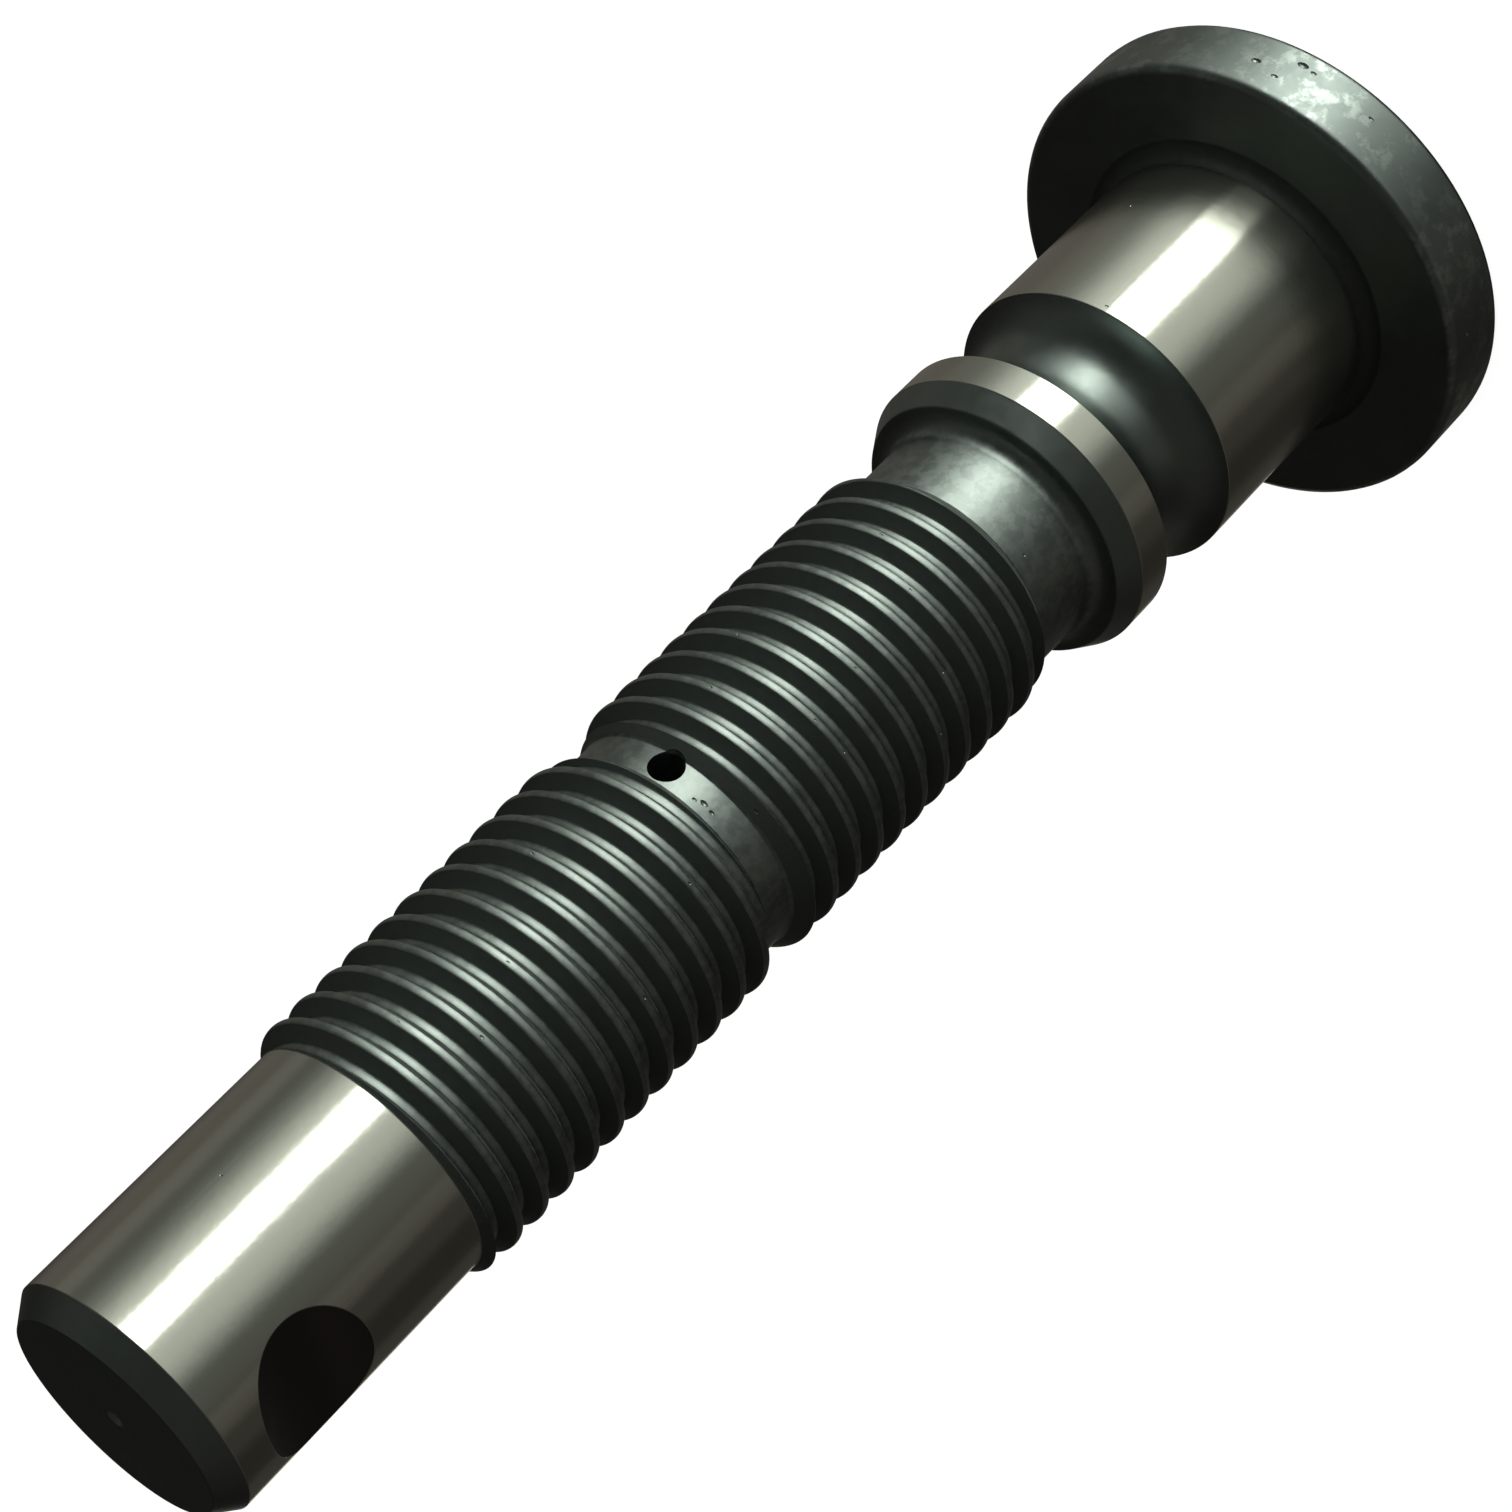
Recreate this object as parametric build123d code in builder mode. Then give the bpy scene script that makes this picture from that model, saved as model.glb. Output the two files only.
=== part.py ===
from build123d import *
import os
from math import ceil, radians, sqrt, tan

# A stepped, threaded and shouldered pin, turned from one bar. It stands on its head: the
# origin is the centre of the head's outer face, and +Z runs up the axis to the plain end.

# ---- Head and the large journal beside it ---------------------------------------------------
head_diameter = 62.0
head_thickness = 10.2
head_edge_radius = 1.2
head_root_radius = 1.8
journal_b_diameter = 38.0
journal_b_length = 29.4

# ---- Round annular groove that takes a lock bolt, and the narrow ring past it ----------------
lock_groove_radius = 6.7
lock_groove_depth = 4.8
ring_width = 4.8

# ---- Shoulder, and the neck under it --------------------------------------------------------
shoulder_chamfer_length = 2.95
shoulder_chamfer_depth = 1.65
neck_length = 10.6
neck_root_radius = 2.0
fillet_share = 0.9

# ---- Thread in two lengths on one helix, parted by a relief groove ---------------------------
thread_diameter = 33.0
thread_pitch = 4.0
thread_depth = 1.9
thread_root_flat = 0.95
thread_angle = 60.0
inner_thread_length = 46.1
outer_thread_length = 46.9
outer_thread_chamfer = 1.5
relief_width = 3.9
root_clearance = 0.1
thread_run_in = 4.3
cutter_overlap = 0.2

# ---- Small journal at the plain end, with a centre mark in its face --------------------------
journal_a_diameter = 30.0
journal_a_length = 33.5
end_chamfer_length = 2.8
end_chamfer_depth = 2.1
centre_mark_diameter = 2.4
centre_mark_angle = 60.0

# ---- Side notch for the lock bolt of the small journal ---------------------------------------
notch_radius = 11.0
notch_depth = 2.7
notch_from_end = 13.8

# ---- Grease passages: a port in the head, a gallery up the axis, a hole to the relief ---------
oil_hole_diameter = 4.0
oil_hole_angle = 82.0
oil_hole_off_centre = 0.35  # from the middle of the relief, towards the head
gallery_diameter = 5.0
gallery_past_hole = 2.0
port_diameter = 9.0
port_depth = 14.0
drill_point_angle = 118.0

# ---- Radii ----------------------------------------------------------------------------------
head_radius = head_diameter / 2
journal_b_radius = journal_b_diameter / 2
shoulder_radius = journal_b_radius - shoulder_chamfer_depth
thread_radius = thread_diameter / 2
thread_root_radius = thread_radius - thread_depth
relief_radius = thread_root_radius - root_clearance
neck_radius = thread_root_radius - root_clearance
shoulder_face_width = shoulder_radius - neck_radius
head_face_width = head_radius - journal_b_radius
journal_a_radius = journal_a_diameter / 2
gallery_radius = gallery_diameter / 2
port_radius = port_diameter / 2
centre_mark_radius = centre_mark_diameter / 2

# ---- Heights up the axis, from the head's outer face ----------------------------------------
lock_groove_half_width = sqrt(
    lock_groove_radius**2 - (lock_groove_radius - lock_groove_depth) ** 2
)
lock_groove_start = head_thickness + journal_b_length
lock_groove_z = lock_groove_start + lock_groove_half_width
lock_groove_end = lock_groove_z + lock_groove_half_width
ring_end = lock_groove_end + ring_width
shoulder_z = ring_end + shoulder_chamfer_length
inner_thread_start = shoulder_z + neck_length
inner_thread_end = inner_thread_start + inner_thread_length
outer_thread_start = inner_thread_end + relief_width
outer_thread_end = outer_thread_start + outer_thread_length
journal_a_end = outer_thread_end + journal_a_length
overall_length = journal_a_end + end_chamfer_length
relief_z = (inner_thread_end + outer_thread_start) / 2
oil_hole_z = relief_z - oil_hole_off_centre
notch_z = overall_length - notch_from_end


def rim(radius, height):
    """The circular edges of the shaft that have this radius and lie at this height."""
    circles = shaft.edges().filter_by(GeomType.CIRCLE)
    return circles.filter_by(
        lambda edge: abs(edge.radius - radius) < 0.001 and abs(edge.arc_center.Z - height) < 0.001
    )


# One turn of the thread cutter: a truncated V swept along a right-hand helix, with its
# first section in the plane of the X axis.
helix_start = inner_thread_start - thread_run_in
cutter_rise = thread_depth + cutter_overlap
cutter_spread = cutter_rise * tan(radians(thread_angle / 2))
with BuildPart() as thread_cutter:
    with BuildLine() as helix:
        Helix(
            pitch=thread_pitch,
            height=thread_pitch,
            radius=thread_root_radius,
            center=(0, 0, helix_start),
        )
    with BuildSketch(Plane.XZ):
        with BuildLine():
            Polyline(
                (thread_root_radius, helix_start - thread_root_flat / 2),
                (thread_root_radius + cutter_rise, helix_start - thread_root_flat / 2 - cutter_spread),
                (thread_root_radius + cutter_rise, helix_start + thread_root_flat / 2 + cutter_spread),
                (thread_root_radius, helix_start + thread_root_flat / 2),
                close=True,
            )
        make_face()
    sweep(path=helix.wires()[0], is_frenet=True)

with BuildPart() as shaft:
    # The turned blank, from the head's outer face to the far end of the thread.
    with BuildSketch(Plane.XZ):
        with BuildLine():
            Polyline(
                (journal_b_radius, lock_groove_start),
                (journal_b_radius, head_thickness),
                (head_radius, head_thickness),
                (head_radius, 0),
                (0, 0),
                (0, outer_thread_end),
                (thread_radius - outer_thread_chamfer, outer_thread_end),
                (thread_radius, outer_thread_end - outer_thread_chamfer),
                (thread_radius, outer_thread_start + (thread_radius - relief_radius)),
                (relief_radius, outer_thread_start),
                (relief_radius, inner_thread_end),
                (thread_radius, inner_thread_end - (thread_radius - relief_radius)),
                (thread_radius, inner_thread_start + (thread_radius - neck_radius)),
                (neck_radius, inner_thread_start),
                (neck_radius, shoulder_z),
                (shoulder_radius, shoulder_z),
                (journal_b_radius, ring_end),
                (journal_b_radius, lock_groove_end),
            )
            ThreePointArc(
                (journal_b_radius, lock_groove_end),
                (journal_b_radius - lock_groove_depth, lock_groove_z),
                (journal_b_radius, lock_groove_start),
            )
        make_face()
    revolve(axis=Axis.Z)
    fillet(rim(head_radius, 0) + rim(head_radius, head_thickness), head_edge_radius)
    fillet(rim(journal_b_radius, head_thickness), min(head_root_radius, head_face_width * fillet_share))
    fillet(rim(neck_radius, shoulder_z), min(neck_root_radius, shoulder_face_width * fillet_share))

    # The thread, one turn after another, from over the neck to past the end of the blank.
    turns = ceil((outer_thread_end - helix_start) / thread_pitch + 1 / 2)
    for turn in range(turns):
        with Locations((0, 0, turn * thread_pitch)):
            add(thread_cutter.part, mode=Mode.SUBTRACT)

    # The small journal and its end chamfer, revolved from the notch's side, so that the
    # journal's seam lies where the notch cuts it.
    notch_side = Plane(origin=(0, 0, 0), x_dir=(0, -1, 0), z_dir=(-1, 0, 0))
    with BuildSketch(notch_side):
        with BuildLine():
            Polyline(
                (0, outer_thread_end),
                (journal_a_radius, outer_thread_end),
                (journal_a_radius, journal_a_end),
                (journal_a_radius - end_chamfer_depth, overall_length),
                (0, overall_length),
                close=True,
            )
        make_face()
    revolve(axis=Axis.Z)

    # The conical centre mark in the plain end.
    with BuildSketch(Plane.XZ):
        with BuildLine():
            Polyline(
                (0, overall_length),
                (centre_mark_radius, overall_length),
                (0, overall_length - centre_mark_radius / tan(radians(centre_mark_angle / 2))),
                close=True,
            )
        make_face()
    revolve(axis=Axis.Z, mode=Mode.SUBTRACT)

    # The lock notch: a round cutter passes across the -Y side of the small journal.
    with BuildSketch(Plane.YZ):
        with Locations((notch_depth - notch_radius - journal_a_radius, notch_z)):
            Circle(notch_radius)
    extrude(amount=journal_a_radius, both=True, mode=Mode.SUBTRACT)

    # The port and the gallery, drilled from the head up the axis, with a drill point.
    gallery_end = oil_hole_z + oil_hole_diameter / 2 + gallery_past_hole
    gallery_tip = gallery_end + gallery_radius / tan(radians(drill_point_angle / 2))
    port_cone = (port_radius - gallery_radius) / tan(radians(drill_point_angle / 2))
    with BuildSketch(Plane.XZ):
        with BuildLine():
            Polyline(
                (0, 0),
                (port_radius, 0),
                (port_radius, port_depth),
                (gallery_radius, port_depth + port_cone),
                (gallery_radius, gallery_end),
                (0, gallery_tip),
                close=True,
            )
        make_face()
    revolve(axis=Axis.Z, mode=Mode.SUBTRACT)

    # The oil hole, drilled square to the axis from the relief groove.
    oil_hole_direction = Vector(0, -1, 0).rotate(Axis.Z, oil_hole_angle)
    with BuildSketch(Plane(origin=(0, 0, oil_hole_z), z_dir=oil_hole_direction)):
        Circle(oil_hole_diameter / 2)
    extrude(amount=thread_radius, mode=Mode.SUBTRACT)

os.makedirs("parts", exist_ok=True)
shaft.part.label = "stepped_shaft"
export_step(shaft.part, "parts/stepped_shaft.step")
print("stepped_shaft: length", overall_length, "volume", round(shaft.part.volume, 3))
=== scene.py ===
# %% [markdown]
# # A stepped shaft: turned, threaded and ground
#
# The real object is one steel pin. It is turned from a bar, a coarse thread is cut in two lengths
# of it, and then two journals and a narrow ring are ground bright. All the rest keeps the dark
# satin skin of its heat treatment. The pin stands on its head.
#
# This lesson models it the way it is machined: an outline is spun into a blank, a helical cutter
# takes the thread out of it, and drills and a milling cutter make the holes and the notch.

# %% Load the fixed frame
import math

import bpy
from mathutils import Matrix, Vector


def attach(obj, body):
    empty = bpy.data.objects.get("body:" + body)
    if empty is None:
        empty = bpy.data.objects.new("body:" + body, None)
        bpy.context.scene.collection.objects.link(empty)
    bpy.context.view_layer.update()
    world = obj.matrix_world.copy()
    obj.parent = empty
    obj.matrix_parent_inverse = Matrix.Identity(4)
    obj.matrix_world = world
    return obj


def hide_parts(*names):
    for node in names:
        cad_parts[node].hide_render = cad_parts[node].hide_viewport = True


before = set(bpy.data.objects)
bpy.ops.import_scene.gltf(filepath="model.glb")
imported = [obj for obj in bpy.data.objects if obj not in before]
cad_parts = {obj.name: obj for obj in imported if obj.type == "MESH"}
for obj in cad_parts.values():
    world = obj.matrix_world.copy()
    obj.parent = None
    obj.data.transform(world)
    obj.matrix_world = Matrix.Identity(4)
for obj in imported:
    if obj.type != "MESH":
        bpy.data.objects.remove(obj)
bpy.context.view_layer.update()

# %% [markdown]
# ## The drawing
#
# These are the sizes of a turned part's drawing, in millimetres. Each step has its own diameter
# and length. The heights that follow are added up from the head's outer face, as a turner would
# set the stops of a lathe.

# %% Sizes, in millimetres
MM = 0.001

HEAD_RADIUS = 31.0
HEAD_THICKNESS = 10.2
HEAD_EDGE = 1.2
HEAD_ROOT = 1.8
JOURNAL_B_RADIUS = 19.0
JOURNAL_B_LENGTH = 29.4
GROOVE_RADIUS = 6.7
GROOVE_DEPTH = 4.8
RING_WIDTH = 4.8
SHOULDER_LENGTH = 2.95
SHOULDER_DEPTH = 1.65
NECK_LENGTH = 10.6
NECK_ROOT = 2.0
CORE_RADIUS = 14.5
THREAD_RADIUS = 16.5
THREAD_DEPTH = 1.9
THREAD_PITCH = 4.0
THREAD_ROOT_FLAT = 0.95
THREAD_HALF_ANGLE = math.radians(30)
INNER_THREAD_LENGTH = 46.1
RELIEF_WIDTH = 3.9
OUTER_THREAD_LENGTH = 46.9
OUTER_THREAD_CHAMFER = 1.5
THREAD_RUN_IN = 4.3
JOURNAL_A_RADIUS = 15.0
JOURNAL_A_LENGTH = 33.5
END_CHAMFER_LENGTH = 2.8
END_CHAMFER_DEPTH = 2.1
CENTRE_MARK_RADIUS = 1.2
NOTCH_RADIUS = 11.0
NOTCH_DEPTH = 2.7
NOTCH_FROM_END = 13.8
OIL_HOLE_RADIUS = 2.0
OIL_HOLE_ANGLE = math.radians(-8)
OIL_HOLE_OFF_CENTRE = 0.35
GALLERY_RADIUS = 2.5
GALLERY_PAST_HOLE = 2.0
PORT_RADIUS = 4.5
PORT_DEPTH = 14.0
DRILL_POINT = math.radians(59)
CENTRE_POINT = math.radians(30)

# %% Heights above the head's outer face
GROOVE_HALF_WIDTH = math.sqrt(GROOVE_RADIUS**2 - (GROOVE_RADIUS - GROOVE_DEPTH) ** 2)
GROOVE_START = HEAD_THICKNESS + JOURNAL_B_LENGTH
GROOVE_Z = GROOVE_START + GROOVE_HALF_WIDTH
GROOVE_END = GROOVE_Z + GROOVE_HALF_WIDTH
RING_END = GROOVE_END + RING_WIDTH
SHOULDER_Z = RING_END + SHOULDER_LENGTH
INNER_THREAD_START = SHOULDER_Z + NECK_LENGTH
INNER_THREAD_END = INNER_THREAD_START + INNER_THREAD_LENGTH
OUTER_THREAD_START = INNER_THREAD_END + RELIEF_WIDTH
OUTER_THREAD_END = OUTER_THREAD_START + OUTER_THREAD_LENGTH
JOURNAL_A_END = OUTER_THREAD_END + JOURNAL_A_LENGTH
LENGTH = JOURNAL_A_END + END_CHAMFER_LENGTH
RELIEF_Z = (INNER_THREAD_END + OUTER_THREAD_START) / 2
NOTCH_Z = LENGTH - NOTCH_FROM_END
OIL_HOLE_Z = RELIEF_Z - OIL_HOLE_OFF_CENTRE
GALLERY_END = OIL_HOLE_Z + OIL_HOLE_RADIUS + GALLERY_PAST_HOLE
print("length of the drawing:", round(LENGTH, 3), "mm")

# %% [markdown]
# ## From an outline to a turned blank
#
# A lathe makes a solid of revolution, so half of the section is all that has to be drawn. Each
# corner below carries its own rounding, because no real edge is perfectly sharp: a hair's breadth
# of radius is what catches the light along every step. The outline starts as one vertex, is
# extruded from corner to corner, and is then spun round the Z axis. Spinning in 144 steps makes a
# facet every 2.5 degrees, fine enough for a clean edge against the background.

# %% Helpers: round the corners, draw the outline, spin it
STEPS_ROUND = 144
ARC_STEP = math.radians(18)
MERGE_DISTANCE = 0.002 * MM


def rounded(corners):
    """Replaces each (radius, height, rounding) corner by the points of its arc."""
    points = [Vector(corners[0][:2])]
    for before, corner, after in zip(corners, corners[1:], corners[2:]):
        tip, rounding = Vector(corner[:2]), corner[2]
        back = (Vector(before[:2]) - tip).normalized()
        on = (Vector(after[:2]) - tip).normalized()
        opening = back.angle(on)
        turn = math.pi - opening
        if rounding == 0 or turn < ARC_STEP / 2:
            points.append(tip)
            continue
        reach = rounding / math.tan(opening / 2)
        centre = tip + (back + on).normalized() * (rounding / math.sin(opening / 2))
        start, end = tip + back * reach - centre, tip + on * reach - centre
        count = max(2, round(turn / ARC_STEP))
        for i in range(count + 1):
            share = i / count
            weights = math.sin((1 - share) * turn), math.sin(share * turn)
            points.append(centre + (start * weights[0] + end * weights[1]) / math.sin(turn))
    points.append(Vector(corners[-1][:2]))
    return points


def outline_object(name, points):
    """Draws the points as a chain of edges in the XZ plane, one extrusion after another."""
    bpy.ops.object.select_all(action="DESELECT")
    bpy.ops.mesh.primitive_plane_add(size=MM)
    outline = bpy.context.active_object
    outline.name = name
    bpy.ops.object.mode_set(mode="EDIT")
    bpy.ops.mesh.merge(type="CENTER")
    first = points[0] * MM
    bpy.ops.transform.translate(value=(first.x, 0, first.y))
    for here, there in zip(points, points[1:]):
        move = (there - here) * MM
        bpy.ops.mesh.extrude_region_move(TRANSFORM_OT_translate={"value": (move.x, 0, move.y)})
    bpy.ops.object.mode_set(mode="OBJECT")
    return outline


def spin(outline):
    """Spins an outline round the Z axis, closes its seam and poles and turns it outwards."""
    bpy.ops.object.mode_set(mode="EDIT")
    bpy.ops.mesh.select_all(action="SELECT")
    bpy.ops.mesh.spin(steps=STEPS_ROUND, angle=math.tau, center=(0, 0, 0), axis=(0, 0, 1))
    bpy.ops.mesh.select_all(action="SELECT")
    bpy.ops.mesh.remove_doubles(threshold=MERGE_DISTANCE)
    bpy.ops.mesh.normals_make_consistent(inside=False)
    bpy.ops.object.mode_set(mode="OBJECT")
    print(outline.name, "has", len(outline.data.polygons), "faces")
    return outline


# %% [markdown]
# The round groove is an arc, so its points come from a formula. The rest are plain corners. The
# journals get a crisp 0.15 mm edge, because grinding leaves them nearly sharp, and the head, which
# is handled and dropped, has softer edges. The grease port, the gallery above it and the centre
# mark lie on the axis, so the same outline can carry them: it starts at the drill's point deep in
# the gallery, comes down the bore, goes round the outside and ends in the centre mark.

# %% The blank, from the gallery's end round to the centre mark
CRISP = 0.15
SOFT = 0.3
GROOVE_STEPS = 20


def groove_points():
    """The arc of the lock groove, from the journal's edge to the ring's edge."""
    centre_radius = JOURNAL_B_RADIUS + GROOVE_RADIUS - GROOVE_DEPTH
    half_arc = math.asin(GROOVE_HALF_WIDTH / GROOVE_RADIUS)
    for i in range(GROOVE_STEPS + 1):
        angle = half_arc * (2 * i / GROOVE_STEPS - 1)
        edge = CRISP if i in (0, GROOVE_STEPS) else 0
        radius = centre_radius - GROOVE_RADIUS * math.cos(angle)
        yield radius, GROOVE_Z + GROOVE_RADIUS * math.sin(angle), edge


thread_step = THREAD_RADIUS - CORE_RADIUS
port_cone = (PORT_RADIUS - GALLERY_RADIUS) / math.tan(DRILL_POINT)
blank_corners = [
    (0, GALLERY_END + GALLERY_RADIUS / math.tan(DRILL_POINT), 0),
    (GALLERY_RADIUS, GALLERY_END, 0),
    (GALLERY_RADIUS, PORT_DEPTH + port_cone, 0),
    (PORT_RADIUS, PORT_DEPTH, 0),
    (PORT_RADIUS, 0, SOFT),
    (HEAD_RADIUS, 0, HEAD_EDGE),
    (HEAD_RADIUS, HEAD_THICKNESS, HEAD_EDGE),
    (JOURNAL_B_RADIUS, HEAD_THICKNESS, HEAD_ROOT),
    *groove_points(),
    (JOURNAL_B_RADIUS, RING_END, CRISP),
    (JOURNAL_B_RADIUS - SHOULDER_DEPTH, SHOULDER_Z, SOFT),
    (CORE_RADIUS, SHOULDER_Z, NECK_ROOT),
    (CORE_RADIUS, INNER_THREAD_START, SOFT),
    (THREAD_RADIUS, INNER_THREAD_START + thread_step, CRISP),
    (THREAD_RADIUS, INNER_THREAD_END - thread_step, CRISP),
    (CORE_RADIUS, INNER_THREAD_END, SOFT),
    (CORE_RADIUS, OUTER_THREAD_START, SOFT),
    (THREAD_RADIUS, OUTER_THREAD_START + thread_step, CRISP),
    (THREAD_RADIUS, OUTER_THREAD_END - OUTER_THREAD_CHAMFER, CRISP),
    (JOURNAL_A_RADIUS, OUTER_THREAD_END, CRISP),
    (JOURNAL_A_RADIUS, JOURNAL_A_END, CRISP),
    (JOURNAL_A_RADIUS - END_CHAMFER_DEPTH, LENGTH, CRISP),
    (CENTRE_MARK_RADIUS, LENGTH, CRISP),
    (0, LENGTH - CENTRE_MARK_RADIUS / math.tan(CENTRE_POINT), 0),
]
shaft = spin(outline_object("shaft", rounded(blank_corners)))

# %% [markdown]
# ## The thread
#
# A thread is one groove that climbs round the shaft. Its cutter has the section of the gap
# between two crests: a hollow root, two flanks that open at 60 degrees, and above them a pair of
# lips that crown the crests. Neither a real root nor a real crest is flat, and that slight curve
# is what draws each highlight into a thin line. The Screw modifier winds the section into a long
# coil, which a Boolean then takes out of the blank. The coil passes over the relief without
# touching it, so both lengths are on one helix. It is cut off square where the small journal
# begins, since that journal is a little fatter than the thread's root. The Boolean's Manifold
# solver is quick and cuts the same way every time, but it takes closed solids only. So the coil's
# ends are capped, and every tool after it is closed as well.

# %% The thread cutter
CURVE_RADIUS = 1.3
CORNER_ROUND = 0.2
CUTTER_OVERLAP = 0.25
CREST_LEFT = 0.07
LIP_START = 0.95  # as a share of the way up the flank
PLANE_DISTANCE = MERGE_DISTANCE / 10

root_radius = THREAD_RADIUS - THREAD_DEPTH
helix_start = INNER_THREAD_START - THREAD_RUN_IN
half_root = THREAD_ROOT_FLAT / 2
half_pitch = THREAD_PITCH / 2


def crown(aside):
    """The radius of the crowned crest at this distance from the middle of the groove."""
    return THREAD_RADIUS - (half_pitch - aside) ** 2 / (2 * CURVE_RADIUS)


lip_foot = half_root + LIP_START * THREAD_DEPTH * math.tan(THREAD_HALF_ANGLE)
lip_middle = (lip_foot + half_pitch) / 2
lip_end = half_pitch - CREST_LEFT
cutter_side = [
    (root_radius + half_root**2 / (2 * CURVE_RADIUS), half_root, CORNER_ROUND),
    (crown(lip_foot), lip_foot, CORNER_ROUND),
    (crown(lip_middle), lip_middle, 0),
    (crown(lip_end), lip_end, 0),
    (THREAD_RADIUS + CUTTER_OVERLAP, lip_end, 0),
]
cutter_corners = [(root_radius, helix_start, 0)]
cutter_corners += [(radius, helix_start + aside, r) for radius, aside, r in cutter_side]
cutter_corners += [(radius, helix_start - aside, r) for radius, aside, r in reversed(cutter_side)]
cutter_corners += [(root_radius, helix_start, 0)]
turns = math.ceil((OUTER_THREAD_END - helix_start) / THREAD_PITCH + 1 / 2)


def wind(section, turns):
    """Winds a closed section into a right-hand coil of this many turns and caps its two ends."""
    screw = section.modifiers.new("wind", "SCREW")
    screw.axis = "Z"
    screw.angle = math.tau
    screw.screw_offset = THREAD_PITCH * MM
    screw.iterations = turns
    screw.steps = screw.render_steps = STEPS_ROUND
    screw.use_merge_vertices = True
    screw.merge_threshold = MERGE_DISTANCE
    bpy.ops.object.modifier_apply(modifier="wind")
    bpy.ops.object.mode_set(mode="EDIT")
    bpy.ops.mesh.select_all(action="SELECT")
    bpy.ops.mesh.remove_doubles(threshold=MERGE_DISTANCE)
    bpy.ops.mesh.select_all(action="SELECT")
    bpy.ops.mesh.fill_holes(sides=0)
    bpy.ops.mesh.select_all(action="SELECT")
    bpy.ops.mesh.bisect(
        plane_co=(0, 0, OUTER_THREAD_END * MM),
        plane_no=(0, 0, 1),
        threshold=PLANE_DISTANCE,
        clear_outer=True,
        use_fill=True,
    )
    bpy.ops.mesh.select_all(action="SELECT")
    bpy.ops.mesh.normals_make_consistent(inside=False)
    bpy.ops.object.mode_set(mode="OBJECT")
    return section


coil = wind(outline_object("thread_cutter", rounded(cutter_corners)), turns)
print("thread cutter:", turns, "turns,", len(coil.data.polygons), "faces")


# %% Cutting one solid out of another
def cut(solid, tool):
    """Takes the tool out of the solid and clears the tool away."""
    bpy.ops.object.select_all(action="DESELECT")
    bpy.context.view_layer.objects.active = solid
    solid.select_set(True)
    step = solid.modifiers.new("machining", "BOOLEAN")
    step.operation = "DIFFERENCE"
    step.solver = "MANIFOLD"
    step.object = tool
    name = tool.name
    bpy.ops.object.modifier_apply(modifier="machining")
    bpy.data.objects.remove(tool)
    print(name, "leaves", len(solid.data.polygons), "faces")


cut(shaft, coil)

# %% [markdown]
# ## The lock notch and the oil hole
#
# A bolt passes through the housing and lies in the notch, so the pin can't turn or creep out. The
# notch is one pass of a round cutter across the side of the small journal. The oil hole is
# drilled square to the axis, into the gallery, and the edge of its mouth is broken, so that no
# burr is left.

# %% The notch: a round cutter laid across the journal
NOTCH_SIDES = 240
NOTCH_CUTTER_LENGTH = 3 * JOURNAL_A_RADIUS
ON_ITS_SIDE = math.radians(90)
bpy.ops.mesh.primitive_cylinder_add(
    vertices=NOTCH_SIDES,
    radius=NOTCH_RADIUS * MM,
    depth=NOTCH_CUTTER_LENGTH * MM,
    location=(0, (NOTCH_DEPTH - NOTCH_RADIUS - JOURNAL_A_RADIUS) * MM, NOTCH_Z * MM),
    rotation=(0, ON_ITS_SIDE, 0),
)
notch_cutter = bpy.context.active_object
notch_cutter.name = "notch_cutter"
cut(shaft, notch_cutter)

# %% The oil hole: a drill that widens a little where it breaks the edge of the mouth
DEBURR = 0.12
DRILL_REACH = THREAD_RADIUS + 1
drill_corners = [
    (0, 0, 0),
    (OIL_HOLE_RADIUS, 0, 0),
    (OIL_HOLE_RADIUS, CORE_RADIUS - 2 * DEBURR, DEBURR),
    (OIL_HOLE_RADIUS + DEBURR, CORE_RADIUS + DEBURR, DEBURR),
    (OIL_HOLE_RADIUS + DEBURR, DRILL_REACH, 0),
    (0, DRILL_REACH, 0),
]
drill = spin(outline_object("oil_hole_drill", rounded(drill_corners)))
drill.location = (0, 0, OIL_HOLE_Z * MM)
drill.rotation_euler = (0, ON_ITS_SIDE, OIL_HOLE_ANGLE)
cut(shaft, drill)

# %% [markdown]
# ## Nicks
#
# A pin that has been handled has small dents, mostly on the thread's crests and the head's rim,
# where steel meets steel. Each one is a flattened ball, longer round the shaft than along it, sunk
# into the surface by 0.35 mm or less, and one Boolean takes them all out at once. Where a few of
# them overlap they make a scar. Their places are listed one by one, because evenly scattered dents
# look like a pattern.

# %% Places of the nicks: degrees round the shaft, height, distance from the axis, size
def on_crest(turn, angle, size):
    """A nick on the crest of this turn of the thread, at this angle."""
    return angle, helix_start + (turn + 0.5 + angle / 360) * THREAD_PITCH, THREAD_RADIUS, size


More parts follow.
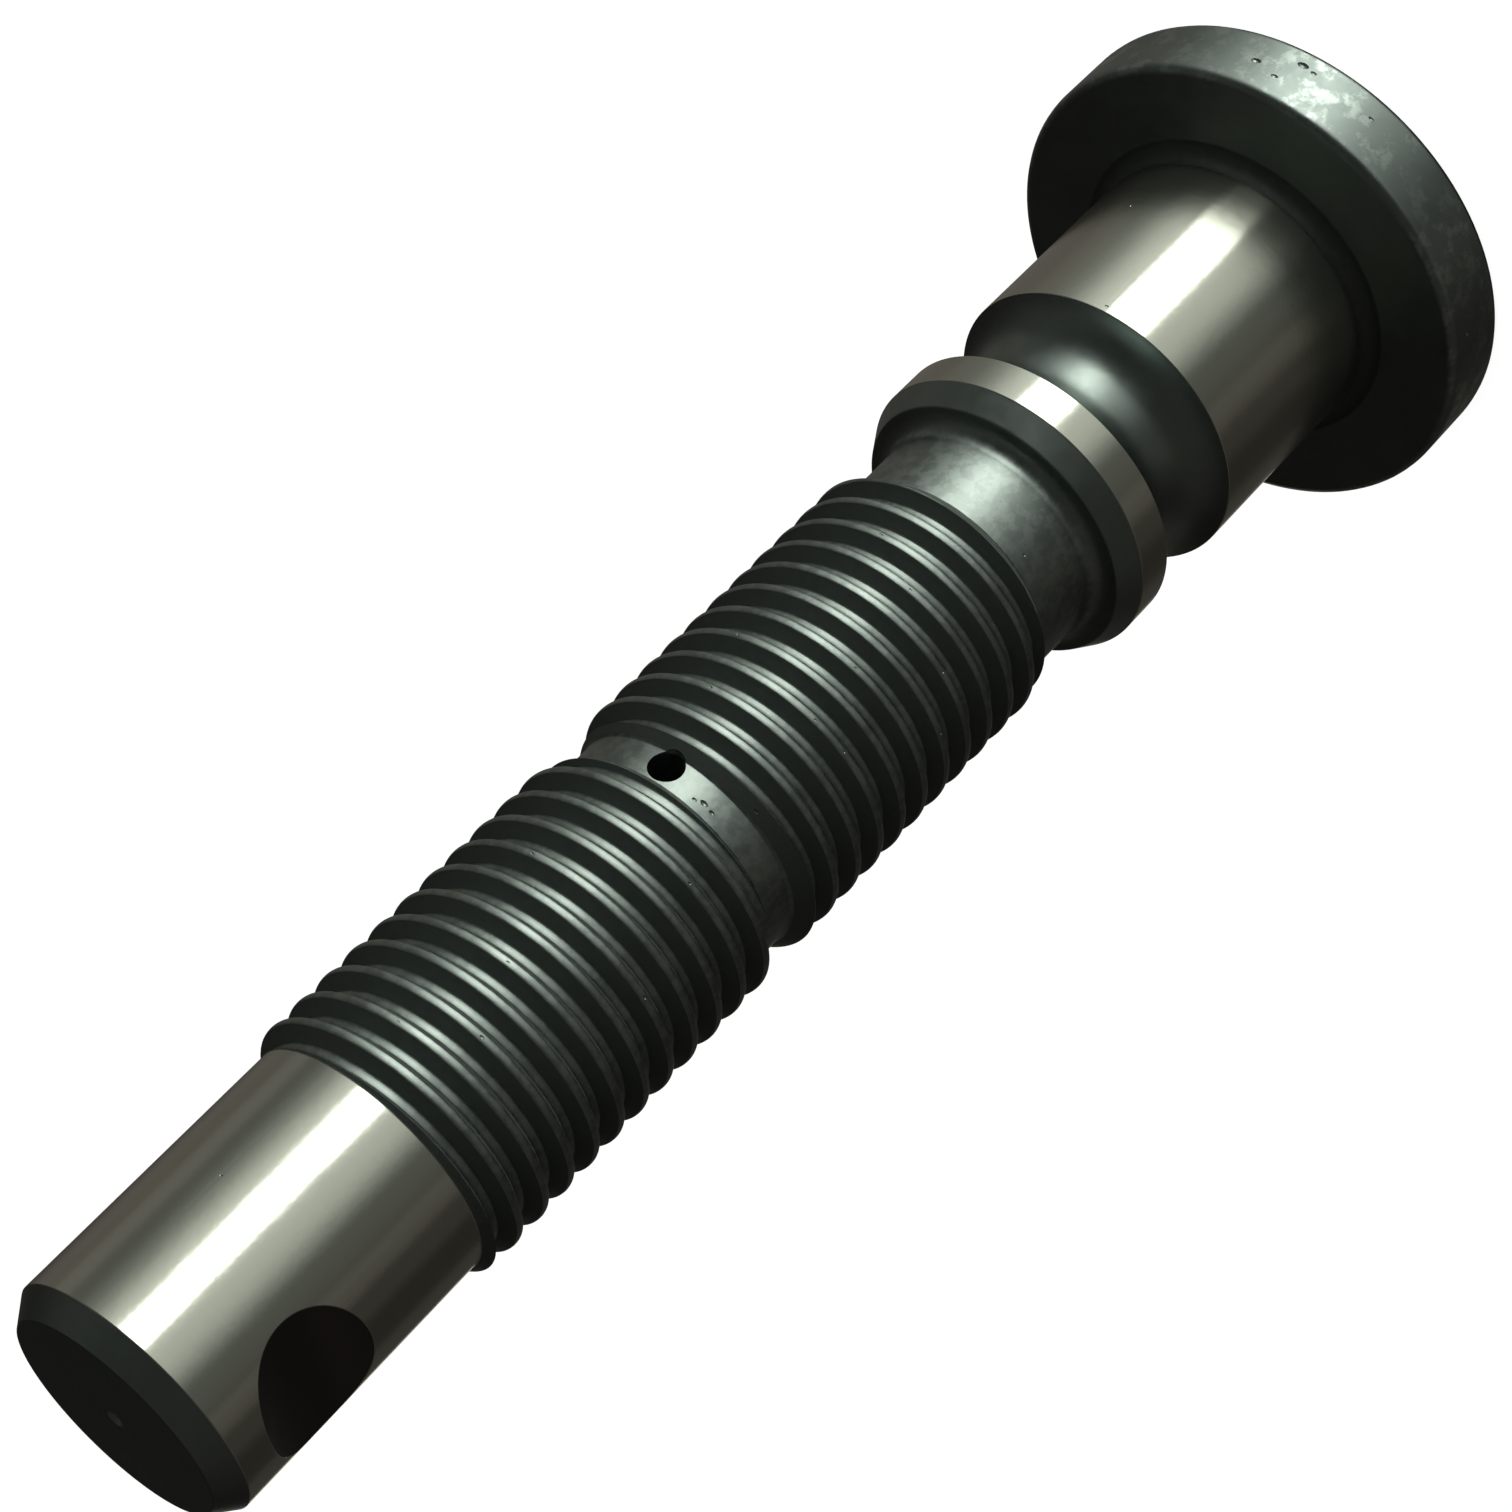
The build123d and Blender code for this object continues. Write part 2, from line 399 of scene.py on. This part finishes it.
nicks = [
    on_crest(3, -6, 0.30),
    on_crest(4, -30, 0.22),
    on_crest(5, -61, 0.26),
    on_crest(6, -80, 0.34),
    on_crest(7, -36, 0.20),
    on_crest(8, 8, 0.24),
    on_crest(9, -39, 0.26),
    on_crest(9, -55, 0.24),
    on_crest(10, -1, 0.34),
    on_crest(15, -48, 0.26),
    on_crest(17, 2, 0.28),
    on_crest(18, -66, 0.30),
    on_crest(20, -22, 0.24),
    on_crest(22, -34, 0.32),
    on_crest(23, -9, 0.22),
    (-48, INNER_THREAD_END - 0.8, CORE_RADIUS + 0.8, 0.40),
    (-27, RELIEF_Z + 0.9, CORE_RADIUS, 0.36),
    (-31, RELIEF_Z + 0.5, CORE_RADIUS, 0.60),
    (-36, RELIEF_Z + 0.7, CORE_RADIUS, 0.46),
    (-54, INNER_THREAD_START - 2.0, CORE_RADIUS, 0.26),
    (1, 183.2, JOURNAL_A_RADIUS, 0.26),
    (-9, GROOVE_START - 0.9, JOURNAL_B_RADIUS, 0.32),
    (17, 21.3, JOURNAL_B_RADIUS, 0.26),
    (-4, HEAD_THICKNESS - 4.8, HEAD_RADIUS, 0.80),
    (-10, HEAD_THICKNESS - 3.6, HEAD_RADIUS, 0.56),
    (-13, HEAD_THICKNESS - 7.2, HEAD_RADIUS, 0.90),
    (-16, HEAD_THICKNESS - 6.9, HEAD_RADIUS, 0.50),
    (-32, HEAD_THICKNESS - 6.4, HEAD_RADIUS, 0.44),
    (-85, HEAD_THICKNESS - 3.1, HEAD_RADIUS, 0.44),
]
print("nicks:", len(nicks))

# %% Sink the nicks
NICK_WIDTH = 0.6
NICK_HEIGHT = 0.7
SINK = 0.45
NICK_DETAIL = 2

dents = []
for angle, height, radius, size in nicks:
    out = radius + SINK * NICK_HEIGHT * size
    turn = math.radians(angle)
    bpy.ops.object.select_all(action="DESELECT")
    bpy.ops.mesh.primitive_ico_sphere_add(
        subdivisions=NICK_DETAIL,
        radius=size * MM,
        location=(out * math.cos(turn) * MM, out * math.sin(turn) * MM, height * MM),
        rotation=(0, 0, turn),
        scale=(NICK_HEIGHT, 1, NICK_WIDTH),
    )
    dents.append(bpy.context.active_object)
for dent in dents:
    dent.select_set(True)
bpy.ops.object.join()
nick_tool = bpy.context.active_object
nick_tool.name = "nick_tool"
cut(shaft, nick_tool)

# %% [markdown]
# ## Smooth faces, sharp edges
#
# The facets are shaded as one curved surface wherever they meet at a small angle, and the normals
# are weighted by area, so that a wide face stays true right up to its rounding. Then the shaft is
# hung on the body it rides on, and the plain solid it stands for is hidden. Its metal comes below.

# %% Smooth the curved faces, keep the edges
SMOOTH_BELOW = math.radians(30)
bpy.ops.object.select_all(action="DESELECT")
bpy.context.view_layer.objects.active = shaft
shaft.select_set(True)
bpy.ops.object.shade_smooth_by_angle(angle=SMOOTH_BELOW)
flatten = shaft.modifiers.new("wide faces stay true", "WEIGHTED_NORMAL")
flatten.keep_sharp = True
bpy.ops.object.modifier_apply(modifier="wide faces stay true")
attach(shaft, "root")
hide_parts("stepped_shaft")
print("the shaft measures", [round(1000 * v, 2) for v in shaft.dimensions], "mm")

# %% [markdown]
# ## The finish
#
# One steel, two skins. The journals and the ring were ground after hardening, so they are bright,
# nearly mirrors, with fine lines round the shaft. Everything else keeps a dark satin skin with a
# faint green cast. The two skins part by position alone: how far up the axis a point lies and how
# far out from it. So the material measures both from Object coordinates, and a soft step between
# two limits tells it which zone a point is in.

# %% Small helpers that add shader nodes
def add_node(tree, kind, sockets=None, **settings):
    """Adds a node; each socket is given a constant or is linked to another node's output."""
    made = tree.nodes.new(kind)
    for name, value in settings.items():
        setattr(made, name, value)
    for name, value in (sockets or {}).items():
        if isinstance(value, bpy.types.NodeSocket):
            tree.links.new(value, made.inputs[name])
        else:
            made.inputs[name].default_value = value
    return made


def maths(tree, operation, first, second=0.0):
    """One sum of two values, each a constant or a node's output."""
    return add_node(tree, "ShaderNodeMath", {0: first, 1: second}, operation=operation).outputs[0]


def between(tree, value, low, high, edge):
    """1 where the value lies between low and high, 0 outside, with a soft step of this width."""
    result = 1.0
    for start, end in ((low - edge, low), (high + edge, high)):
        step = add_node(
            tree,
            "ShaderNodeMapRange",
            {"Value": value, "From Min": start, "From Max": end},
            interpolation_type="SMOOTHSTEP",
        ).outputs[0]
        result = maths(tree, "MULTIPLY", step, result)
    return result


def blend(tree, share, first, second):
    """Mixes two colours."""
    mixed = add_node(
        tree, "ShaderNodeMix", {"Factor": share, "A": first, "B": second}, data_type="RGBA"
    )
    return mixed.outputs["Result"]


def soft_add(tree, total, share, amount):
    """Adds this amount to a value, where the share says so."""
    return maths(tree, "ADD", maths(tree, "MULTIPLY", share, amount), total)


# %% A steel material that measures height and distance from the axis
steel = bpy.data.materials.new("shaft_steel")
steel.use_nodes = True
tree = steel.node_tree
surface = tree.nodes["Principled BSDF"]
surface.inputs["Metallic"].default_value = 1.0
place = add_node(tree, "ShaderNodeTexCoord").outputs["Object"]
axes = add_node(tree, "ShaderNodeSeparateXYZ", {0: place}).outputs
squares = [maths(tree, "POWER", maths(tree, "ABSOLUTE", axes[i]), 2.0) for i in (0, 1)]
out_from_axis = maths(tree, "SQRT", maths(tree, "ADD", squares[0], squares[1]))
up_axis = axes["Z"]
shaft.data.materials.clear()
shaft.data.materials.append(steel)
print(steel.name, "goes on", shaft.name)

# %% [markdown]
# The table below lists the zones. A ground journal ends a hair past its edges, where the wheel
# just touched the rounding. The thread's flanks and the fillet at the head's root are made
# rougher, and their colour is darkened as painted shade in those hollows. The notch is coloured
# darker and browner. The rim of the head is rubbed by everything that it is put down on, the
# groove is polished by its bolt, and the slim part is all that lies past the shoulder.

# %% Where each skin lies
ZONES = {  # heights from, to and soft edge, then distances from the axis likewise, in mm
    "journal_b": (
        (HEAD_THICKNESS + HEAD_ROOT + 0.1, RING_END + 0.05, 0.1),
        (JOURNAL_B_RADIUS - 0.08, JOURNAL_B_RADIUS + 1.4, 0.05),
    ),
    "journal_a": (
        (OUTER_THREAD_END, JOURNAL_A_END + 0.05, 0.1),
        (JOURNAL_A_RADIUS - 0.06, HEAD_RADIUS, 0.03),
    ),
    # painted shade: the thread's flanks are coloured darker in their hollows; they are also
    # rougher
    "flank_shade": (
        (INNER_THREAD_START, OUTER_THREAD_END - 0.3, 1.0),
        (root_radius + 0.2, THREAD_RADIUS - 0.16, 0.06),
    ),
    # painted shade: the fillet in the corner at the head's root is coloured darker; it is also
    # rougher
    "root_fillet_shade": (
        (HEAD_THICKNESS - 0.1, HEAD_THICKNESS + HEAD_ROOT, 0.1),
        (0.0, JOURNAL_B_RADIUS + HEAD_ROOT + 0.1, 0.5),
    ),
    "notch": (
        (OUTER_THREAD_END + 0.4, JOURNAL_A_END - 0.1, 0.1),
        (0.0, JOURNAL_A_RADIUS - 0.09, 0.03),
    ),
    "rim": (None, (HEAD_RADIUS - 0.7, HEAD_RADIUS + 1.0, 0.4)),
    "groove": ((GROOVE_START + 0.2, GROOVE_END - 0.2, 0.1), None),
    "slim": ((SHOULDER_Z + 1.0, OUTER_THREAD_END, 1.0), None),
}


def in_zone(heights, distances):
    """1 in a zone of the shaft and 0 elsewhere; None leaves that direction open."""
    share = 1.0
    for value, limits in ((up_axis, heights), (out_from_axis, distances)):
        if limits:
            low, high, edge = (limit * MM for limit in limits)
            share = maths(tree, "MULTIPLY", between(tree, value, low, high, edge), share)
    return share


zones = {name: in_zone(*limits) for name, limits in ZONES.items()}
ground = maths(tree, "MAXIMUM", zones["journal_a"], zones["journal_b"])
dull = maths(tree, "MAXIMUM", zones["flank_shade"], zones["root_fillet_shade"])
print("zones:", ", ".join(zones))

# %% [markdown]
# Wear is slow and cloudy, so broad noise varies both colour and gloss. Finer blotches mottle the
# dark skin, and scuffs rub the head's rim pale. Grinding leaves lines that run round the shaft:
# noise squeezed hard along the axis and left long across it makes them without any seam. The
# satin skin is pitted on a very fine scale instead.

# %% Clouds, blotches, scuffs, pits and grinding lines
def noise(where, scale, detail, roughness):
    """Smooth noise from 0 to 1; the scale says how many lumps there are to a metre."""
    sockets = {"Vector": where, "Scale": scale, "Detail": detail, "Roughness": roughness}
    return add_node(tree, "ShaderNodeTexNoise", sockets).outputs[0]


LINE_SQUEEZE = (60.0, 60.0, 9000.0)

clouds = noise(place, 140.0, 4.0, 0.6)
blotches = noise(place, 620.0, 3.0, 0.7)
scuffs = noise(place, 330.0, 5.0, 0.7)
pits = noise(place, 4200.0, 2.0, 0.6)
squeezed = add_node(tree, "ShaderNodeMapping", {"Vector": place, "Scale": LINE_SQUEEZE}).outputs[0]
lines = noise(squeezed, 1.0, 3.0, 0.65)

MOTTLE_ABOVE, MOTTLE_EDGE = 0.6, 0.2
RUBBED_ABOVE, RUBBED_EDGE = 0.62, 0.13
mottle = between(tree, blotches, MOTTLE_ABOVE, 1.0, MOTTLE_EDGE)
mottle = maths(tree, "MULTIPLY", mottle, zones["slim"])
rubbed = between(tree, scuffs, RUBBED_ABOVE, 1.0, RUBBED_EDGE)
rubbed = maths(tree, "MULTIPLY", rubbed, zones["rim"])
print("steel has", len(tree.nodes), "nodes so far")

# %% Colours
SATIN = (0.21, 0.245, 0.235, 1), (0.30, 0.345, 0.325, 1)
GROUND = (0.54, 0.56, 0.49, 1), (0.60, 0.62, 0.55, 1)
MOTTLED = (0.33, 0.375, 0.355, 1)
RUBBED = (0.37, 0.42, 0.4, 1)
# painted shade: a darker colour in the hollows of the thread
FLANK_SHADE = (0.19, 0.215, 0.205, 1)
# painted shade: a darker colour in the corner at the head's root
FILLET_SHADE = (0.13, 0.145, 0.137, 1)
NOTCH = (0.12, 0.108, 0.1, 1)

colour = blend(tree, clouds, *SATIN)
for share, tone in (
    (mottle, MOTTLED),
    (rubbed, RUBBED),
    (zones["flank_shade"], FLANK_SHADE),
    (zones["root_fillet_shade"], FILLET_SHADE),
    (zones["notch"], NOTCH),
    (ground, blend(tree, clouds, *GROUND)),
):
    colour = blend(tree, share, colour, tone)
tree.links.new(colour, surface.inputs["Base Color"])
print("satin from", SATIN[0][:3], "to", SATIN[1][:3])
print("ground from", GROUND[0][:3], "to", GROUND[1][:3])

# %% [markdown]
# Gloss tells the skins apart more than colour does. The lines of a ground journal spread light
# along the axis and hardly round the shaft, which is what Anisotropic is for. The Tangent runs
# round the shaft, as the cross product of the axis and the point's own place, so it needs no UV
# map, and a quarter turn then lays the long way of the highlight along the axis.

# %% Gloss
SATIN_ROUGHNESS = 0.40
SATIN_WANDER = 0.07, 0.11  # with the clouds, with the blotches
GROUND_ROUGHNESS = 0.2
GROUND_WANDER = 0.04, 0.05  # with the clouds, with the lines
DULLER = 0.3
RUBBED_POLISH = 0.08
GROOVE_POLISH = 0.05
ANISOTROPY = 0.9
QUARTER_TURN = 0.25


def vary(tree, value, noise, amount):
    """A value that wanders with a noise by this amount to either side."""
    swing = maths(tree, "MULTIPLY", maths(tree, "SUBTRACT", noise, 0.5), 2 * amount)
    return maths(tree, "ADD", swing, value)


satin_roughness = vary(tree, SATIN_ROUGHNESS, clouds, SATIN_WANDER[0])
satin_roughness = vary(tree, satin_roughness, blotches, SATIN_WANDER[1])
satin_roughness = soft_add(tree, satin_roughness, dull, DULLER)
satin_roughness = soft_add(tree, satin_roughness, rubbed, -RUBBED_POLISH)
satin_roughness = soft_add(tree, satin_roughness, zones["groove"], -GROOVE_POLISH)
ground_roughness = vary(tree, GROUND_ROUGHNESS, clouds, GROUND_WANDER[0])
ground_roughness = vary(tree, ground_roughness, lines, GROUND_WANDER[1])
roughness = add_node(
    tree, "ShaderNodeMix", {0: ground, 2: satin_roughness, 3: ground_roughness}, data_type="FLOAT"
).outputs[0]
tree.links.new(roughness, surface.inputs["Roughness"])
round_shaft = add_node(
    tree, "ShaderNodeVectorMath", {0: (0.0, 0.0, 1.0), 1: place}, operation="CROSS_PRODUCT"
).outputs[0]
tree.links.new(round_shaft, surface.inputs["Tangent"])
surface.inputs["Anisotropic Rotation"].default_value = QUARTER_TURN
tree.links.new(maths(tree, "MULTIPLY", ground, ANISOTROPY), surface.inputs["Anisotropic"])
print("roughness: satin", SATIN_ROUGHNESS, "and ground", GROUND_ROUGHNESS)

# %% [markdown]
# The last trace of each process is too small to model: grinding lines half a micron deep, slow
# waves a few hundredths of a millimetre high that make the journals' highlights waver, and the
# pits of the dark skin. A Bump node tilts the light for them without moving the surface.

# %% Relief too fine to model
LINE_HEIGHT = 0.0006
WAVE_HEIGHT = 0.04
PIT_HEIGHT = 0.004

not_ground = maths(tree, "SUBTRACT", 1.0, ground)
height = 0.0
for pattern, share, depth in (
    (lines, ground, LINE_HEIGHT),
    (clouds, ground, WAVE_HEIGHT),
    (pits, not_ground, PIT_HEIGHT),
):
    height = soft_add(tree, height, maths(tree, "MULTIPLY", pattern, share), depth * MM)
bump = add_node(tree, "ShaderNodeBump", {"Height": height, "Strength": 1.0, "Distance": 1.0})
tree.links.new(bump.outputs[0], surface.inputs["Normal"])
print("steel has", len(tree.nodes), "nodes")

# %% [markdown]
# ## The stage
#
# Bright metal looks like whatever stands round it. Here that is a dim room with one tall soft
# window. The room is a big ball round the shaft, lined with cards that only the metal sees: the
# camera looks straight through it, at a white floor and a white background. The floor is switched
# off for the metal's own rays, so it mirrors the cards alone.

# %% The floor and the white background
FLOOR_SIZE = 12.0
FLOOR_GLOW = 0.93
PAPER = (0.8, 0.8, 0.8, 1)
bpy.ops.mesh.primitive_plane_add(size=FLOOR_SIZE)
floor = bpy.context.active_object
floor.name = "floor"
floor.visible_glossy = False
floor.visible_diffuse = False
paper = bpy.data.materials.new("white_paper")
paper.use_nodes = True
tree = paper.node_tree
matte = tree.nodes["Principled BSDF"]
matte.inputs["Base Color"].default_value = PAPER
matte.inputs["Roughness"].default_value = 1.0
matte.inputs["Specular IOR Level"].default_value = 0.0


def seen_directly(tree):
    """1 for rays that look at the background: from the camera, off gloss or through glass."""
    kinds = add_node(tree, "ShaderNodeLightPath").outputs
    seen = maths(tree, "MAXIMUM", kinds["Is Camera Ray"], kinds["Is Glossy Ray"])
    return maths(tree, "MAXIMUM", seen, kinds["Is Transmission Ray"])


strength = maths(tree, "MULTIPLY", seen_directly(tree), FLOOR_GLOW)
glow = add_node(tree, "ShaderNodeEmission", {"Color": (1, 1, 1, 1), "Strength": strength})
both = add_node(tree, "ShaderNodeAddShader", {0: matte.outputs[0], 1: glow.outputs[0]})
tree.links.new(both.outputs[0], tree.nodes["Material Output"].inputs["Surface"])
floor.data.materials.append(paper)

world = bpy.data.worlds.new("white_background")
bpy.context.scene.world = world
world.use_nodes = True
tree = world.node_tree
tree.links.new(seen_directly(tree), tree.nodes["Background"].inputs["Strength"])
tree.nodes["Background"].inputs["Color"].default_value = (1, 1, 1, 1)
print("floor:", FLOOR_SIZE, "m square, glowing at", FLOOR_GLOW)

# %% [markdown]
# The ball glows faintly all over. Each soft band on it is a light: the window, the paler wall to
# both sides of it, a door further round, and a narrow strip behind, with one band that takes
# light away, a dark card. Directions are given as degrees round the shaft. The window widens
# downwards, so its left edge slants. Every band fades out above the horizon, which leaves the
# faces that look up almost black: they see the ceiling, which is dim, dimmer still behind, and a
# little brighter over the wall on the left.

# %% The ball of cards
BALL_RADIUS = 5.0
BALL_SEGMENTS = 64
bpy.ops.mesh.primitive_uv_sphere_add(
    segments=BALL_SEGMENTS,
    ring_count=BALL_SEGMENTS // 2,
    radius=BALL_RADIUS,
    location=(0, 0, LENGTH / 2 * MM),
)
ball = bpy.context.active_object
ball.name = "ball_of_cards"
bpy.ops.object.shade_smooth()
ball.visible_camera = False
ball.visible_shadow = False
ball.visible_transmission = False

cards = bpy.data.materials.new("cards")
cards.use_nodes = True
ball.data.materials.append(cards)
tree = cards.node_tree
tree.nodes.remove(tree.nodes["Principled BSDF"])
place = add_node(tree, "ShaderNodeTexCoord").outputs["Object"]
axes = add_node(tree, "ShaderNodeSeparateXYZ", {0: place}).outputs
azimuth = maths(tree, "DEGREES", maths(tree, "ARCTAN2", axes["Y"], axes["X"]))
sine = maths(tree, "DIVIDE", axes["Z"], BALL_RADIUS)
elevation = maths(tree, "DEGREES", maths(tree, "ARCSINE", sine))
print("ball of cards:", BALL_RADIUS, "m in radius")

# %% Below the horizon: the window, the walls and the dark card
ROOM_GLOW = 0.05
WINDOW_SIDE = -17.0
WINDOW_WIDTH = 0.78  # at the horizon, as a share of the angles below
WINDOW_SPREAD = 0.0122  # how much that grows with each degree downwards
LIGHT_BANDS = [  # from and to, in degrees from that side of the window; soft edge; brightness
    (2.0, 25.5, 2.4, 2.85),
    (20.2, 32.5, 41.0, 0.37),
    (-15.2, 22.9, 31.2, 0.55),
    (-47.2, 120.0, 41.0, 0.08),
]
ROOM_BANDS = [  # direction, half width, soft edge, brightness
    (71, 5, 8, 0.05),
    (-96, 5, 9, 0.05),
    (150, 5, 6, 0.7),
    (-147, 12, 12, -0.022),
]
LOW_LIMITS = -55.0, 0.0, 5.0  # elevations from, to and soft edge

from_side = maths(tree, "SUBTRACT", azimuth, WINDOW_SIDE)
stretch = maths(tree, "SUBTRACT", WINDOW_WIDTH, maths(tree, "MULTIPLY", elevation, WINDOW_SPREAD))
left = maths(tree, "DIVIDE", maths(tree, "MAXIMUM", from_side, 0.0), stretch)
from_side = maths(tree, "ADD", left, maths(tree, "MINIMUM", from_side, 0.0))
low = ROOM_GLOW
for start, end, edge, brightness in LIGHT_BANDS:
    low = soft_add(tree, low, between(tree, from_side, start, end, edge), brightness)
for direction, half_width, edge, brightness in ROOM_BANDS:
    start, end = direction - half_width, direction + half_width
    low = soft_add(tree, low, between(tree, azimuth, start, end, edge), brightness)
low = maths(tree, "MULTIPLY", low, between(tree, elevation, *LOW_LIMITS))
print("bands of light:", len(LIGHT_BANDS) + len(ROOM_BANDS))

# %% Above the horizon: the ceiling
CEILING_GLOW = 0.06
CEILING_LIMITS = 4.0, 90.0, 4.0
FRONT = -37.0
FRONT_ENDS, BACK_STARTS = 90.0, 140.0
BACK_SHARE = 0.25
LEFT_WALL = 60.0, 105.0, 45.0
LEFT_WALL_GLOW = 0.05

from_front = maths(tree, "ABSOLUTE", maths(tree, "SUBTRACT", azimuth, FRONT))
front = add_node(
    tree,
    "ShaderNodeMapRange",
    {
        "Value": from_front,
        "From Min": BACK_STARTS,
        "From Max": FRONT_ENDS,
        "To Min": BACK_SHARE,
    },
).outputs[0]
ceiling = soft_add(tree, CEILING_GLOW, between(tree, azimuth, *LEFT_WALL), LEFT_WALL_GLOW)
high = maths(tree, "MULTIPLY", front, ceiling)
high = maths(tree, "MULTIPLY", high, between(tree, elevation, *CEILING_LIMITS))
print("ceiling glows at", CEILING_GLOW, "and at", BACK_SHARE * CEILING_GLOW, "behind")

# %% The colour of the light: cool by the window, warm to the sides
COOL = (0.97, 1.0, 0.92, 1)
WARM = (1.07, 0.985, 0.87, 1)
COOL_MIDDLE = -8.0
COOL_ENDS, WARM_STARTS = 55.0, 95.0

aside = maths(tree, "ABSOLUTE", maths(tree, "SUBTRACT", azimuth, COOL_MIDDLE))
warmth = add_node(
    tree,
    "ShaderNodeMapRange",
    {"Value": aside, "From Min": COOL_ENDS, "From Max": WARM_STARTS},
).outputs[0]
light = maths(tree, "ADD", low, high)
tint = blend(tree, warmth, COOL, WARM)
glow = add_node(tree, "ShaderNodeEmission", {"Color": tint, "Strength": light})
tree.links.new(glow.outputs[0], tree.nodes["Material Output"].inputs["Surface"])
print("cards have", len(tree.nodes), "nodes")

# %% [markdown]
# The glowing floor can't be darkened by a shadow, but the paper under the glow can. A weak lamp
# overhead gives the paper the last bit of its white, and the shaft takes that away again where it
# stands in between. Light linking keeps the lamp off the metal.

# %% The lamp that lays the shaft's shadow
LAMP_POWER = 6.0
LAMP_SIZE = 1.2
LAMP_PLACE = (0.2, 0.3, 2.0)
bpy.ops.object.light_add(type="AREA", location=LAMP_PLACE)
lamp = bpy.context.active_object
lamp.name = "overhead"
lamp.data.shape = "DISK"
lamp.data.size = LAMP_SIZE
lamp.data.energy = LAMP_POWER
paper_only = bpy.data.collections.new("paper_only")
paper_only.objects.link(floor)
lamp.light_linking.receiver_collection = paper_only

# %% [markdown]
# ## The camera
#
# The camera stands close, at less than half a metre, and looks down on the shaft from above. It
# is rolled a long way round, so that the shaft lies across the picture with its plain end low on
# the left.

# %% The camera
CAMERA = Vector((263.98, -193.86, 283.66)) * MM
AIM = Vector((-0.313, -0.427, 111.779)) * MM
ROLL = math.radians(-135.364)
LENS = 81.26
SENSOR = 36.0
SHIFT_X, SHIFT_Y = 0.0259, 0.0397
NEAREST, FARTHEST = 0.02, 50.0
bpy.ops.object.camera_add(location=CAMERA)
camera = bpy.context.active_object
turn = (AIM - CAMERA).to_track_quat("-Z", "Y").to_matrix() @ Matrix.Rotation(ROLL, 3, "Z")
camera.rotation_euler = turn.to_euler()
camera.data.lens = LENS
camera.data.sensor_width = SENSOR
camera.data.shift_x = SHIFT_X
camera.data.shift_y = SHIFT_Y
camera.data.clip_start = NEAREST
camera.data.clip_end = FARTHEST
bpy.context.scene.camera = camera
bpy.context.scene.view_settings.view_transform = "Standard"
print("the camera stands", round((AIM - CAMERA).length, 3), "m from what it looks at")
